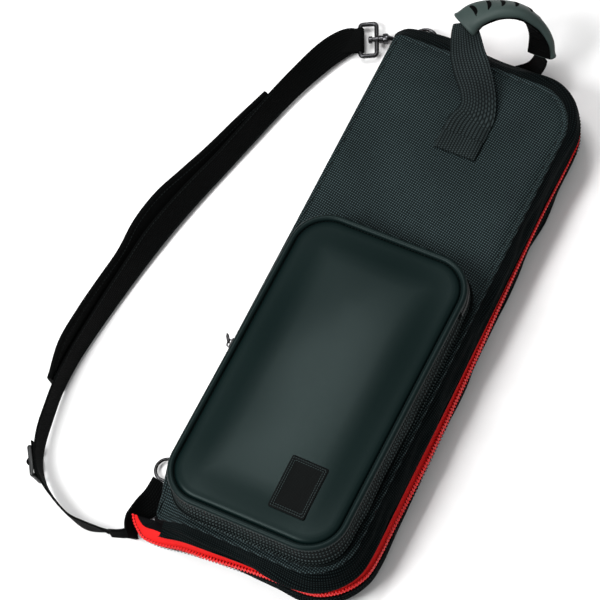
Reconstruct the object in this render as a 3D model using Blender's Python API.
"""Drum stick bag: a book-like bag on its back, zipped round three sides, with a front pocket and a strap.

Metres. +X runs from the spine to the zipped side, +Y from the bottom to the handle and +Z up out of the
front cover. The origin is on the resting face of the back panel. Soft parts are plain closed solids.
"""

import math

import bmesh
import bpy
from mathutils import Vector

# Driving dimensions of the covers
SPINE_X = -0.094
PANEL_RIGHT = 0.085
PANEL_BOTTOM = -0.240
PANEL_TOP = 0.248
THICKNESS = 0.060
PANEL_THICKNESS = 0.006
CORNER_RADIUS = 0.040
# How far the soft side wall swells past the panels at half height
BULGE_RIGHT = 0.011
BULGE_TOP = 0.014
BULGE_BOTTOM = 0.009
WALL_THICKNESS = 0.004
ZIPPER_EDGE = 0.022
ZIPPER_MIDDLE = THICKNESS / 2
GAP = 0.0003
SPINE_CLEAR = 0.0065

# Inner stick pockets
POUCH_X = (-0.082, 0.074)
POUCH_Y = (-0.226, 0.150)
POUCH_DEPTH = 0.019
CHANNEL_COUNT = 3
CHANNEL_HEIGHT = 0.016
DIVIDER = 0.003

# Front pocket
POCKET_X = (-0.082, 0.077)
POCKET_Y = (-0.230, 0.054)
POCKET_RADIUS = 0.032
POCKET_FLARE = 0.004
RIM_HEIGHT_TOP = 0.082
RIM_HEIGHT_BOTTOM = 0.092
PIPING_RADIUS = 0.0022
POCKET_ZIP = (0.072, 0.0753)
BAND_THICKNESS = 0.0024
# The pocket zipper runs over the top between these two ends; the lid folds along the line between them
FOLD_LEFT = Vector((-0.084, -0.075, 0.0889))
FOLD_RIGHT = Vector((0.079, 0.015, 0.0857))

# Handle: centre line of the webbing and grip, from the front cover over the top edge to the back
HANDLE_WIDTH = 0.038
HANDLE_THICKNESS = 0.0022
FRONT_WEBBING = [(3, 158, 61.6), (6, 186, 61.8), (3, 208, 64.5), (-10, 231, 71), (-24, 250, 76),
                 (-31, 259, 77.5)]
GRIP_PATH = [(-36, 270, 79), (-29, 282, 82), (-13, 293, 84), (4, 300, 80), (16, 301, 69), (25, 296, 54),
             (28, 287, 40)]
BACK_WEBBING = [(5, 158, 1.5), (5, 205, 1.5), (5, 238, 1.5), (6, 250, 2.4), (10, 264, 6.5), (20, 274, 18),
                (27, 282, 32)]
GRIP_WIDTH = 0.023
GRIP_THICKNESS = 0.010

# Shoulder strap, lying on the surface beside the spine. The third number is how far its lower edge is lifted
STRAP_WIDTH = 0.025
STRAP_THICKNESS = 0.002
STRAP_ROUTE = [
    (-145.4, 251.6, 5.6), (-151.5, 247, 5.0), (-161, 228, 4.4), (-171.5, 197, 4.4), (-181.5, 163, 4.2),
    (-191, 125, 3.8),
    (-200, 90, 3.2), (-209, 58, 3.6), (-216, 30, 3.8), (-222, 0, 3.8), (-226, -32, 3.2), (-229.5, -65, 3.0),
    (-232.5, -98, 2.8), (-234.5, -130, 2.6), (-233.5, -160, 2.6), (-229, -188, 3.0), (-224, -212, 3.6),
    (-216, -231, 4.4),
    (-203, -245, 4), (-186, -255, 2), (-168, -262, 0.8), (-152, -264, 0.6), (-138, -262, 1), (-127, -260, 2),
]
# Roll of the strap about its own line, in degrees from flat, at each point of the route
STRAP_ROLL = [4, 14, 34, 52, 60, 64, 66, 62, 60, 60, 68, 74, 79, 82, 83, 82, 80, 80, 84, 86, 84, 90, 82, 66]
PAD_SPAN = (4, 14)
PAD_WIDTH = 0.037
PAD_THICKNESS = 0.005
PAD_OFFSET = -0.006
ADJUSTER_POINT = 17
ADJUSTER_HALF = (0.0145, 0.012)
ADJUSTER_WIRE = 0.002

RING_WIRE = 0.0015
HOOK_WIRE = 0.0018
HOOK_HEIGHT = 0.0075
HOOK_FRAME_CENTRE = Vector((-0.134, 0.257, HOOK_HEIGHT))
HOOK_DIRECTION = Vector((0.894, 0.447, 0)).normalized()


def material(name, colour, roughness, metallic=0.0):
    made = bpy.data.materials.new(name)
    made.use_nodes = True
    shader = made.node_tree.nodes["Principled BSDF"]
    shader.inputs["Base Color"].default_value = (*colour, 1)
    shader.inputs["Roughness"].default_value = roughness
    shader.inputs["Metallic"].default_value = metallic
    made.diffuse_color = (*colour, 1)
    return made


def add_mesh(name, vertices, faces, surface, smooth=False):
    mesh = bpy.data.meshes.new(name)
    mesh.from_pydata([tuple(point) for point in vertices], [], faces)
    edit = bmesh.new()
    edit.from_mesh(mesh)
    bmesh.ops.recalc_face_normals(edit, faces=edit.faces)
    edit.to_mesh(mesh)
    edit.free()
    if smooth:
        mesh.shade_smooth()
        mesh.set_sharp_from_angle(angle=math.radians(40))
    mesh.materials.append(surface)
    made = bpy.data.objects.new(name, mesh)
    bpy.context.scene.collection.objects.link(made)
    return made


def loft(name, rings, surface, closed=False, smooth=True):
    """Skin through rings of the same number of points. An open loft gets end caps."""
    size = len(rings[0])
    vertices = [point for ring in rings for point in ring]
    faces = []
    for index in range(len(rings) if closed else len(rings) - 1):
        here = index * size
        there = (index + 1) % len(rings) * size
        for side in range(size):
            after = (side + 1) % size
            faces.append((here + side, here + after, there + after, there + side))
    if not closed:
        last = (len(rings) - 1) * size
        faces.append(tuple(range(size)))
        faces.append(tuple(last + side for side in range(size)))
    return add_mesh(name, vertices, faces, surface, smooth)


def plate(name, outline, low, high, surface):
    """A flat-sided plate. low and high are heights, or functions of a point of the outline."""
    def level(height, point):
        return height(point) if callable(height) else height

    rings = [[(x, y, level(height, (x, y))) for x, y in outline] for height in (low, high)]
    return loft(name, rings, surface, smooth=False)


def box_mesh(name, boxes, surface=None):
    """One mesh of separate boxes, each given as a low and a high corner."""
    vertices = []
    faces = []
    for low, high in boxes:
        base = len(vertices)
        vertices += [(x, y, z) for z in (low[2], high[2]) for x, y in (
            (low[0], low[1]), (high[0], low[1]), (high[0], high[1]), (low[0], high[1]))]
        faces += [tuple(base + corner for corner in face) for face in (
            (0, 3, 2, 1), (4, 5, 6, 7), (0, 1, 5, 4), (1, 2, 6, 5), (2, 3, 7, 6), (3, 0, 4, 7))]
    return add_mesh(name, vertices, faces, surface or material(name, (0.5, 0.5, 0.5), 0.5))


def cut(target, boxes):
    """Boolean difference with a hidden cutter made of boxes."""
    cutter = box_mesh(target.name + "_cutter", boxes)
    cutter.hide_render = True
    cutter.display_type = "WIRE"
    difference = target.modifiers.new("cut", "BOOLEAN")
    difference.operation = "DIFFERENCE"
    difference.object = cutter
    return cutter


def in_metres(points):
    return [Vector(point) / 1000 for point in points]


def spline(points, steps, closed=False):
    """Catmull-Rom curve through the points, with this many steps between two of them."""
    count = len(points)
    curve = []
    for index in range(count if closed else count - 1):
        if closed:
            a, b, c, d = (points[(index + shift) % count] for shift in (-1, 0, 1, 2))
        else:
            a, b, c, d = (points[min(max(index + shift, 0), count - 1)] for shift in (-1, 0, 1, 2))
        for step in range(steps):
            t = step / steps
            curve.append((b * 2 + (c - a) * t + (a * 2 - b * 5 + c * 4 - d) * t * t
                          + (b * 3 - a - c * 3 + d) * t ** 3) / 2)
    if not closed:
        curve.append(points[-1].copy())
    return curve


def tangents(points, closed=False):
    count = len(points)
    found = []
    for index in range(count):
        if closed:
            step = points[(index + 1) % count] - points[index - 1]
        else:
            step = points[min(index + 1, count - 1)] - points[max(index - 1, 0)]
        found.append(step.normalized())
    return found


def wire(name, path, radius, surface, normal, closed=False, sides=8):
    """Round wire along a path that lies near the plane with this normal."""
    rings = []
    for point, tangent in zip(path, tangents(path, closed)):
        across = tangent.cross(normal).normalized()
        upright = across.cross(tangent)
        turns = [2 * math.pi * side / sides for side in range(sides)]
        rings.append([point + (across * math.cos(turn) + upright * math.sin(turn)) * radius
                      for turn in turns])
    return loft(name, rings, surface, closed)


def band(name, path, across, width, thickness, surface):
    """Flat strip along a path. across is the width direction at each point."""
    rings = []
    for point, tangent, side in zip(path, tangents(path), across):
        side = (side - tangent * side.dot(tangent)).normalized() * width / 2
        face = tangent.cross(side).normalized() * thickness / 2
        rings.append([point + side + face, point - side + face, point - side - face, point + side - face])
    return loft(name, rings, surface, smooth=False)


def arc(centre, radius, start, end, steps):
    """Points of an arc in the XY plane, angles in degrees."""
    turns = [math.radians(start + (end - start) * step / steps) for step in range(steps + 1)]
    return [(centre[0] + radius * math.cos(turn), centre[1] + radius * math.sin(turn)) for turn in turns]


def zipped_path(start_x, grow_right=0.0, grow_top=0.0, grow_bottom=0.0, corner_steps=8, side_steps=6):
    """The three zipped sides in plan, from the spine along the bottom, up the right side and along the top."""
    right = PANEL_RIGHT + grow_right
    bottom = PANEL_BOTTOM - grow_bottom
    top = PANEL_TOP + grow_top
    corner_x = PANEL_RIGHT - CORNER_RADIUS
    low_y = PANEL_BOTTOM + CORNER_RADIUS
    high_y = PANEL_TOP - CORNER_RADIUS
    points = [(start_x, bottom)]
    for step in range(corner_steps + 1):
        turn = math.pi / 2 * step / corner_steps
        points.append((corner_x + (right - corner_x) * math.sin(turn),
                       low_y + (bottom - low_y) * math.cos(turn)))
    points += [(right, low_y + (high_y - low_y) * step / side_steps) for step in range(1, side_steps)]
    for step in range(corner_steps + 1):
        turn = math.pi / 2 * step / corner_steps
        points.append((corner_x + (right - corner_x) * math.cos(turn),
                       high_y + (top - high_y) * math.sin(turn)))
    points.append((start_x, top))
    return points


def wall(name, section, start_x, surface, smooth=True):
    """A wall along the three zipped sides. section lists (height, distance in from the outer surface)."""
    columns = []
    for height, inset in section:
        swell = math.sin(math.pi * height / THICKNESS)
        columns.append([(x, y, height) for x, y in zipped_path(
            start_x, BULGE_RIGHT * swell - inset, BULGE_TOP * swell - inset, BULGE_BOTTOM * swell - inset)])
    return loft(name, list(zip(*columns)), surface, smooth=smooth)


def mirrored(section):
    """The same section for the front cover, upside down."""
    return [(THICKNESS - height, inset) for height, inset in section]


def panel_outline(inset=0.0, left=SPINE_X):
    return zipped_path(left + inset, -inset, -inset, -inset, side_steps=1)


def move_origin(piece, pivot):
    piece.data.transform(piece.matrix_world.inverted() if piece.parent else piece.matrix_world)
    for vertex in piece.data.vertices:
        vertex.co -= pivot


def body(name, pivot, pieces, parent=None):
    """An empty on the joint's axis that carries the pieces of one moving body."""
    carrier = bpy.data.objects.new(name, None)
    bpy.context.scene.collection.objects.link(carrier)
    carrier.empty_display_size = 0.02
    carrier.location = pivot
    if parent:
        carrier.parent = parent
        carrier.location = pivot - world_place(parent)
    for piece in pieces:
        move_origin(piece, pivot)
        piece.parent = carrier
    return carrier


def world_place(carrier):
    place = carrier.location.copy()
    while carrier.parent:
        carrier = carrier.parent
        place += carrier.location
    return place


# Covers

def back_cover(nylon, lining):
    panel = plate("back_panel", panel_outline(), 0, PANEL_THICKNESS, nylon)
    recess = box_mesh("back_panel_cutter", [((-0.0145, 0.155, -0.01), (0.0245, 0.260, 0.0038))])
    recess.hide_render = True
    recess.display_type = "WIRE"
    webbing_recess = panel.modifiers.new("webbing_recess", "BOOLEAN")
    webbing_recess.operation = "DIFFERENCE"
    webbing_recess.object = recess
    wall("back_gusset", GUSSET_SECTION, -0.0872, nylon)
    low = PANEL_THICKNESS + GAP
    plate("back_lining", panel_outline(0.007, SPINE_X), low, low + 0.0012, lining)
    stick_pocket("back_stick_pocket", low + 0.0015, lining)


def front_cover(nylon, lining):
    pieces = [plate("front_panel", panel_outline(), THICKNESS - PANEL_THICKNESS, THICKNESS, nylon)]
    pieces.append(wall("front_gusset", mirrored(GUSSET_SECTION), -0.0872, nylon))
    high = THICKNESS - PANEL_THICKNESS - GAP
    pieces.append(plate("front_lining", panel_outline(0.007, SPINE_X), high - 0.0012, high, lining))
    pieces.append(stick_pocket("front_stick_pocket", high - 0.0015 - POUCH_DEPTH, lining))
    return pieces


def stick_pocket(name, low, surface):
    """A flat pouch with side by side channels that open towards the top of the bag."""
    pouch = box_mesh(name, [((POUCH_X[0], POUCH_Y[0], low), (POUCH_X[1], POUCH_Y[1], low + POUCH_DEPTH))],
                     surface)
    skin = (POUCH_DEPTH - CHANNEL_HEIGHT) / 2
    width = (POUCH_X[1] - POUCH_X[0] - DIVIDER * (CHANNEL_COUNT + 1)) / CHANNEL_COUNT
    channels = []
    for index in range(CHANNEL_COUNT):
        left = POUCH_X[0] + DIVIDER + index * (width + DIVIDER)
        channels.append(((left, POUCH_Y[0] + DIVIDER, low + skin),
                         (left + width, POUCH_Y[1] + 0.01, low + skin + CHANNEL_HEIGHT)))
    cutter = cut(pouch, channels)
    pouch["channels"] = cutter.name
    return pouch


def spine(nylon, lining):
    high = THICKNESS - SPINE_CLEAR
    return [
        box_mesh("spine_panel",
                 [((SPINE_X, PANEL_BOTTOM, SPINE_CLEAR), (SPINE_X + 0.004, PANEL_TOP, high))], nylon),
        box_mesh("spine_lining", [((SPINE_X + 0.0043, PANEL_BOTTOM + 0.004, SPINE_CLEAR + 0.002),
                                   (SPINE_X + 0.0053, PANEL_TOP - 0.004, high - 0.002))], lining),
    ]


GUSSET_SECTION = [
    (PANEL_THICKNESS + GAP, 0.0), (0.014, 0.0), (ZIPPER_EDGE, 0.0), (ZIPPER_EDGE, 0.0019),
    (ZIPPER_MIDDLE - GAP, 0.0019), (ZIPPER_MIDDLE - GAP, WALL_THICKNESS), (ZIPPER_EDGE, WALL_THICKNESS),
    (0.014, WALL_THICKNESS), (PANEL_THICKNESS + GAP, WALL_THICKNESS),
]
TAPE_SECTION = [
    (ZIPPER_EDGE + GAP, 0.0003), (ZIPPER_MIDDLE - GAP, 0.0003),
    (ZIPPER_MIDDLE - GAP, 0.0016), (ZIPPER_EDGE + GAP, 0.0016),
]
TEETH_SECTION = [(0.0268, -0.0021), (0.0297, -0.0021), (0.0297, 0.0), (0.0268, 0.0)]


def main_zipper(red_tape, red_teeth):
    wall("zipper_tape_back", TAPE_SECTION, -0.0872, red_tape)
    wall("zipper_teeth_back", TEETH_SECTION, -0.086, red_teeth)
    return [
        wall("zipper_tape_front", mirrored(TAPE_SECTION), -0.0872, red_tape),
        wall("zipper_teeth_front", mirrored(TEETH_SECTION), -0.086, red_teeth),
    ]


# Front pocket

def rim_height(point):
    share = (point[1] - POCKET_Y[0]) / (POCKET_Y[1] - POCKET_Y[0])
    return RIM_HEIGHT_BOTTOM + (RIM_HEIGHT_TOP - RIM_HEIGHT_BOTTOM) * share


def pocket_outline(grow=0.0, steps=6):
    """Closed rounded rectangle round the pocket, grown outwards by this much."""
    left, right = POCKET_X[0] - grow, POCKET_X[1] + grow
    low, high = POCKET_Y[0] - grow, POCKET_Y[1] + grow
    radius = POCKET_RADIUS + grow
    corners = (((right - radius, high - radius), 0), ((left + radius, high - radius), 90),
               ((left + radius, low + radius), 180), ((right - radius, low + radius), 270))
    return [point for centre, start in corners for point in arc(centre, radius, start, start + 90, steps)]


def beyond_fold(point):
    """Distance from the fold line, positive on the lid's side."""
    along = (FOLD_RIGHT - FOLD_LEFT).to_2d().normalized()
    return (point[1] - FOLD_LEFT.y) * along.x - (point[0] - FOLD_LEFT.x) * along.y


def clipped(outline, lid_side):
    """The stretch of a closed convex outline on one side of the fold line, from end to end."""
    sign = 1 if lid_side else -1
    clear = 0.0002
    count = len(outline)
    inside = [sign * beyond_fold(point) > clear for point in outline]
    first = next(index for index in range(count) if inside[index] and not inside[index - 1])

    def crossing(a, b):
        near, far = (sign * beyond_fold(point) - clear for point in (a, b))
        share = near / (near - far)
        return (a[0] + (b[0] - a[0]) * share, a[1] + (b[1] - a[1]) * share)

    run = [crossing(outline[first - 1], outline[first])]
    index = first
    while inside[index % count]:
        run.append(outline[index % count])
        index += 1
    run.append(crossing(outline[(index - 1) % count], outline[index % count]))
    return run


def pocket_wall(name, levels, thickness, surface, lid_side=None):
    """A wall round the pocket, or on one side of the fold. levels are (height or function, outward growth)."""
    section = list(levels) + [(height, grow - thickness) for height, grow in reversed(levels)]
    columns = []
    for height, grow in section:
        outline = pocket_outline(grow)
        if lid_side is not None:
            outline = clipped(outline, lid_side)
        columns.append([(x, y, height((x, y)) if callable(height) else height) for x, y in outline])
    return loft(name, list(zip(*columns)), surface, closed=lid_side is None)


def flare(height):
    """How much wider the pocket's wall is at this height than at its rim."""
    share = (RIM_HEIGHT_BOTTOM - height) / (RIM_HEIGHT_BOTTOM - THICKNESS)
    return POCKET_FLARE * share


def pocket_half(suffix, lid_side, leather, rubber, nylon):
    """The face, piping and upper band on one side of the fold line."""
    def under_piping(point):
        return rim_height(point) - PIPING_RADIUS - GAP

    inner = clipped(pocket_outline(-PIPING_RADIUS - GAP), lid_side)
    face = plate("pocket_face_" + suffix, inner, lambda p: rim_height(p) - 0.002,
                 lambda p: rim_height(p) + 0.0015,
                 leather)
    rim = [Vector((x, y, rim_height((x, y)))) for x, y in clipped(pocket_outline(), lid_side)]
    piping = wire("pocket_piping_" + suffix, rim, PIPING_RADIUS, rubber, Vector((0, 0, 1)), sides=6)
    name, low = ("pocket_lid_band", POCKET_ZIP[1] + GAP) if lid_side else ("pocket_fixed_band", POCKET_ZIP[0])
    side = pocket_wall(name, [(low, flare(low)), (under_piping, 0.0)], BAND_THICKNESS, nylon, lid_side)
    return [face, piping, side]


def front_pocket(leather, rubber, nylon, coil_plastic):
    base = pocket_wall("pocket_base_gusset",
                       [(THICKNESS + GAP, POCKET_FLARE), (POCKET_ZIP[0] - GAP, flare(POCKET_ZIP[0]))],
                       BAND_THICKNESS, nylon)
    coil = pocket_wall("pocket_coil", [(POCKET_ZIP[0], 0.0024), (POCKET_ZIP[1], 0.0024)], 0.0022,
                       coil_plastic, True)
    fixed = [base, coil] + pocket_half("lower", False, leather, rubber, nylon)
    lid = pocket_half("upper", True, leather, rubber, nylon)
    patch_centre = (0.028, -0.184)
    patch_half = (0.017, 0.023)
    outline = []
    for turn, (sx, sy) in zip((0, 90, 180, 270), ((1, 1), (-1, 1), (-1, -1), (1, -1))):
        centre = (patch_centre[0] + sx * (patch_half[0] - 0.004),
                  patch_centre[1] + sy * (patch_half[1] - 0.004))
        outline += arc(centre, 0.004, turn, turn + 90, 3)
    face_top = 0.0015 + GAP
    fixed.append(plate("pocket_patch", outline, lambda p: rim_height(p) + face_top,
                       lambda p: rim_height(p) + face_top + 0.0008, leather))
    return fixed, lid


# Handle

def handle(webbing, rubber):
    sideways = Vector((1, 0, 0))
    front_path = spline(in_metres(FRONT_WEBBING), 4)
    front = band("handle_webbing_front", front_path, [sideways] * len(front_path), HANDLE_WIDTH,
                 HANDLE_THICKNESS,
                 webbing)
    back_path = spline(in_metres(BACK_WEBBING), 4)
    band("handle_webbing_back", back_path, [sideways] * len(back_path), HANDLE_WIDTH - 0.002,
         HANDLE_THICKNESS, webbing)
    grip_path = spline(in_metres(GRIP_PATH), 4)
    turns = (Vector((0.98, -0.1, 0.1)), Vector((0.5, -0.55, 0.6)), Vector((0.75, -0.45, 0.45)))
    rings = []
    for index, (point, tangent) in enumerate(zip(grip_path, tangents(grip_path))):
        share = index / (len(grip_path) - 1)
        side = turns[0].lerp(turns[1], share * 2) if share < 0.5 else turns[1].lerp(turns[2], share * 2 - 1)
        side = (side - tangent * side.dot(tangent)).normalized()
        face = side.cross(tangent)
        half_width, half_thickness = GRIP_WIDTH / 2, GRIP_THICKNESS / 2
        corners = [(math.cos(turn), math.sin(turn))
                   for turn in (math.radians(22.5 + 45 * k) for k in range(8))]
        rings.append([point + side * half_width * u * 1.08 + face * half_thickness * v * 1.08
                      for u, v in corners])
    grip = loft("handle_grip", rings, rubber)
    return front, grip


# Rings, strap and hook

def d_ring(name, centre, width, depth, metal, turn):
    """A D-ring in the XY plane. Its bar lies through centre; the arc points along turn, in degrees."""
    half = width / 2
    leg = depth - half
    local = [(-half, 0.0), (0.0, 0.0), (half, 0.0), (half, leg * 0.6)]
    local += arc((0, leg), half, 0, 180, 8) + [(-half, leg * 0.6)]
    spin = math.radians(turn - 90)
    path = [Vector((centre.x + x * math.cos(spin) - y * math.sin(spin),
                    centre.y + x * math.sin(spin) + y * math.cos(spin), centre.z)) for x, y in local]
    return wire(name, path, RING_WIRE, metal, Vector((0, 0, 1)), closed=True)


def folded_tab(name, base, bar, width, webbing, outward):
    """Webbing from base that wraps a bar and comes back on itself. outward is the way out of the bag."""
    across = Vector((0, 0, 1)).cross(outward)
    reach = RING_WIRE + 0.0018
    start_gap = (bar - base).dot(outward)
    low = [base + outward * start_gap * share for share in (0.0, 0.5)]
    low[1].z += 0.0006
    profile = low
    for turn in range(-120, 121, 30):
        angle = math.radians(turn)
        profile.append(Vector((0, 0, bar.z)) + outward * bar.dot(outward) + across * base.dot(across)
                       + (outward * math.cos(angle) + Vector((0, 0, 1)) * math.sin(angle)) * reach)
    end = base + outward * start_gap * 0.5
    end.z = base.z + 0.0026
    profile.append(end)
    return band(name, profile, [across] * len(profile), width, 0.0013, webbing)


def strap_frames():
    """Centre line, width direction and face direction of the strap, from the hook to the folded lower end."""
    steps = 4
    path = spline(in_metres(STRAP_ROUTE), steps)
    rolls = spline([Vector((value, 0, 0)) for value in STRAP_ROLL], steps)
    frames = []
    lifted = []
    for point, roll in zip(path, rolls):
        angle = math.radians(roll.x)
        reach = STRAP_WIDTH / 2 * math.sin(angle) + STRAP_THICKNESS / 2 * math.cos(angle)
        lifted.append(Vector((point.x, point.y, point.z + reach)))
    for point, tangent, roll in zip(lifted, tangents(lifted), rolls):
        flat = Vector((0, 0, 1)).cross(tangent).normalized()
        angle = math.radians(-roll.x)
        across = flat * math.cos(angle) + tangent.cross(flat) * math.sin(angle)
        frames.append((point, across, tangent.cross(across)))
    return frames, steps


def strip(name, frames, width, thickness, surface):
    """Flat strip through frames of centre, width direction and face direction."""
    rings = []
    for point, across, face in frames:
        side, lift = across * width / 2, face * thickness / 2
        rings.append([point + side + lift, point - side + lift, point - side - lift, point + side - lift])
    return loft(name, rings, surface, smooth=False)


def strap(webbing, pad_fabric, plastic):
    frames, steps = strap_frames()
    strip("strap_webbing", frames, STRAP_WIDTH, STRAP_THICKNESS, webbing)
    pad = frames[PAD_SPAN[0] * steps:PAD_SPAN[1] * steps + 1]
    under = (STRAP_THICKNESS + PAD_THICKNESS) / 2 + 3 * GAP
    lowered = [(point + across * PAD_OFFSET - face * math.copysign(under, face.z), across, face)
               for point, across, face in pad]
    strip("strap_pad", lowered, PAD_WIDTH, PAD_THICKNESS, pad_fabric)
    point, across, face = frames[ADJUSTER_POINT * steps]
    along = across.cross(face).normalized()
    outward = face if face.x < 0 else -face
    centre = point + outward * (STRAP_THICKNESS / 2 + ADJUSTER_WIRE + GAP)
    corners = [centre + across * u * ADJUSTER_HALF[0] + along * v * ADJUSTER_HALF[1]
               for u, v in ((1, 0), (1, 1), (0, 1), (-1, 1), (-1, 0), (-1, -1), (0, -1), (1, -1))]
    wire("strap_adjuster", corners, ADJUSTER_WIRE, plastic, face, closed=True, sides=6)
    return frames


def strap_tail(webbing):
    """The folded lower end: flat beside the spine, from the corner up to the seam by the bottom ring."""
    path = in_metres([(-110.5, -258, 1.3), (-110.5, -240, 1.3), (-110.5, -215, 1.3), (-110.5, -195.4, 1.3)])
    return band("strap_tail", path, [Vector((1, 0, 0))] * len(path), STRAP_WIDTH, STRAP_THICKNESS, webbing)


def hook(metal):
    """Swivel hook: a flat frame for the strap, and a hook with a sprung gate that turns about its line."""
    along = HOOK_DIRECTION
    across = Vector((0, 0, 1)).cross(along)
    up = Vector((0, 0, 1))
    half_long, half_short = 0.0165, 0.0075
    corner = 0.003
    outline = []
    for turn, (sx, sy) in zip((0, 90, 180, 270), ((1, 1), (-1, 1), (-1, -1), (1, -1))):
        outline += arc((sx * (half_short - corner), sy * (half_long - corner)), corner, turn, turn + 90, 3)
    frame_path = [HOOK_FRAME_CENTRE + along * x + across * y for x, y in outline]
    wire("hook_frame", frame_path, HOOK_WIRE, metal, up, closed=True)
    base = HOOK_FRAME_CENTRE + along * (half_short + HOOK_WIRE + GAP)
    profile = [(0.0, 0.0030), (0.0045, 0.0030), (0.0045, 0.0042), (0.0085, 0.0042), (0.0095, 0.0024)]
    eye_start, eye_length, eye_half = 0.0115, 0.0255, 0.0052
    rings = []
    for reach, radius in profile:
        turns = [2 * math.pi * k / 8 for k in range(8)]
        rings.append([base + along * reach + (across * math.cos(t) + up * math.sin(t)) * radius
                      for t in turns])
    hook_line = [(eye_start, 0.0), (eye_start + 0.003, -eye_half * 0.8), (eye_start + 0.007, -eye_half)]
    hook_line.append((eye_start + eye_length - eye_half, -eye_half))
    for turn in range(-60, 91, 30):
        angle = math.radians(turn)
        hook_line.append((eye_start + eye_length - eye_half + eye_half * math.cos(angle),
                          eye_half * math.sin(angle)))
    hook_line.append((eye_start + eye_length - 0.0095, eye_half))
    path = [base + along * x + up * z for x, z in hook_line]
    for point, tangent in list(zip(path, tangents(path))):
        first = across
        second = tangent.cross(first).normalized()
        turns = [2 * math.pi * k / 8 for k in range(8)]
        rings.append([point + (first * math.cos(t) + second * math.sin(t)) * HOOK_WIRE for t in turns])
    body_piece = loft("hook_body", rings, metal)
    gate_pivot = base + along * (eye_start + 0.0045) + up * (eye_half + 0.0)
    gate_path = [base + along * x + up * eye_half
                 for x in (eye_start + 0.0042, eye_start + eye_length - 0.0099)]
    gate = wire("hook_gate", gate_path, HOOK_WIRE * 0.8, metal, across)
    return base, body_piece, gate, gate_pivot


def slider_and_pull(name, pull_name, place, outward, along, tab_turn, metal):
    """A slider outside the teeth with a lip under the fixed row, and a ring pull on a vertical axis."""
    up = Vector((0, 0, 1))

    def block(u, v, w):
        return place + along * u + outward * v + up * w

    section = [(0.0030, -0.0052), (0.0030, 0.0050), (0.0008, 0.0050), (0.0008, -0.0034), (-0.0012, -0.0034),
               (-0.0012, -0.0052)]
    rings = [[block(u, v, w) for v, w in section] for u in (-0.0045, 0.0045)]
    slider = loft(name, rings, metal, smooth=False)
    pivot = place + outward * 0.0052
    angle = math.radians(tab_turn)
    direction = along * math.cos(angle) + outward * math.sin(angle)
    centre = pivot + direction * 0.0045
    normal = direction.cross(up)
    path = [centre + (direction * math.cos(t) + up * math.sin(t)) * 0.0040
            for t in (2 * math.pi * k / 12 for k in range(12))]
    pull = wire(pull_name, path, 0.0008, metal, normal, closed=True, sides=6)
    return slider, pull, pivot


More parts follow.
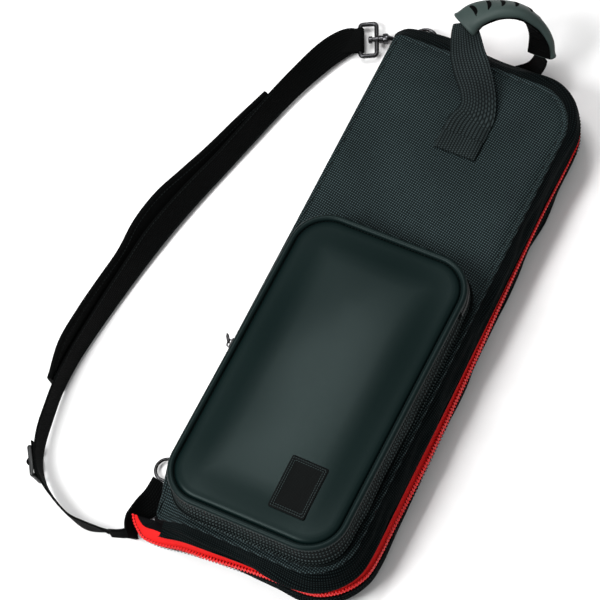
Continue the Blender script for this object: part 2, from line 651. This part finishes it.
def main():
    for old in list(bpy.data.objects):
        bpy.data.objects.remove(old, do_unlink=True)

    nylon = material("woven_nylon", (0.035, 0.042, 0.042), 0.75)
    lining = material("lining_fabric", (0.02, 0.02, 0.022), 0.9)
    leather = material("synthetic_leather", (0.045, 0.058, 0.058), 0.42)
    rubber = material("piping_rubber", (0.03, 0.036, 0.036), 0.5)
    grip_rubber = material("grip_rubber", (0.05, 0.065, 0.065), 0.55)
    webbing = material("webbing", (0.02, 0.022, 0.022), 0.85)
    pad_fabric = material("pad_fabric", (0.012, 0.012, 0.013), 0.9)
    red_tape = material("red_tape", (0.6, 0.03, 0.04), 0.8)
    red_teeth = material("red_teeth", (0.7, 0.04, 0.05), 0.35)
    coil_plastic = material("coil_plastic", (0.02, 0.02, 0.02), 0.4)
    metal = material("dark_metal", (0.12, 0.12, 0.13), 0.3, 1.0)
    plastic = material("adjuster_plastic", (0.02, 0.02, 0.022), 0.45)

    back_cover(nylon, lining)
    spine_pieces = spine(nylon, lining)
    front_pieces = front_cover(nylon, lining) + main_zipper(red_tape, red_teeth)
    pocket_fixed, pocket_lid = front_pocket(leather, rubber, nylon, coil_plastic)
    webbing_front, grip = handle(webbing, grip_rubber)

    strap(webbing, pad_fabric, plastic)
    strap_tail(webbing)
    ring_bar = Vector((-0.086, 0.271, HOOK_HEIGHT))
    ring_top = d_ring("ring_top", ring_bar, 0.022, 0.016, metal, 90)
    folded_tab("ring_tab_top", Vector((-0.086, PANEL_TOP + GAP, 0.0011)), ring_bar, 0.014, webbing,
               Vector((0, 1, 0)))
    low_bar = Vector((-0.103, -0.189, 0.0048))
    ring_bottom = d_ring("ring_bottom", low_bar, 0.020, 0.019, metal, 180)
    folded_tab("ring_tab_bottom", Vector((SPINE_X - GAP, -0.189, 0.0011)), low_bar, 0.012, webbing,
               Vector((-1, 0, 0)))
    hook_base, hook_piece, gate, gate_pivot = hook(metal)

    slide_top = Vector((-0.062, PANEL_TOP + BULGE_TOP + 0.0022, ZIPPER_MIDDLE))
    main_slider, main_pull, main_pivot = slider_and_pull(
        "main_slider", "main_pull", slide_top, Vector((0, 1, 0)), Vector((1, 0, 0)), 35, metal)
    slide_side = Vector((POCKET_X[0] - 0.0047, -0.084, (POCKET_ZIP[0] + POCKET_ZIP[1]) / 2))
    pocket_slider, pocket_pull, pull_pivot = slider_and_pull(
        "pocket_slider", "pocket_pull", slide_side, Vector((-1, 0, 0)), Vector((0, 1, 0)), 40, metal)

    spine_body = body("spine_body", Vector((SPINE_X, 0, 0)), spine_pieces + [grip])
    front_body = body("front_cover_body", Vector((SPINE_X, 0, THICKNESS)),
                      front_pieces + pocket_fixed + [webbing_front], spine_body)
    body("pocket_lid_body", (FOLD_LEFT + FOLD_RIGHT) / 2, pocket_lid, front_body)
    slider_body = body("pocket_slider_body", slide_side, [pocket_slider], front_body)
    body("pocket_pull_body", pull_pivot, [pocket_pull], slider_body)
    main_slider_body = body("main_slider_body", slide_top, [main_slider])
    body("main_pull_body", main_pivot, [main_pull], main_slider_body)
    body("ring_top_body", ring_bar, [ring_top])
    hook_carrier = body("hook_body_carrier", hook_base, [hook_piece])
    body("hook_gate_body", gate_pivot, [gate], hook_carrier)
    move_cutters_with(front_body)


def move_cutters_with(carrier):
    """The front pouch's cutter keeps its place relative to the pouch when the front cover is turned."""
    cutter = bpy.data.objects["front_stick_pocket_cutter"]
    cutter.parent = carrier
    cutter.location = -world_place(carrier)


main()
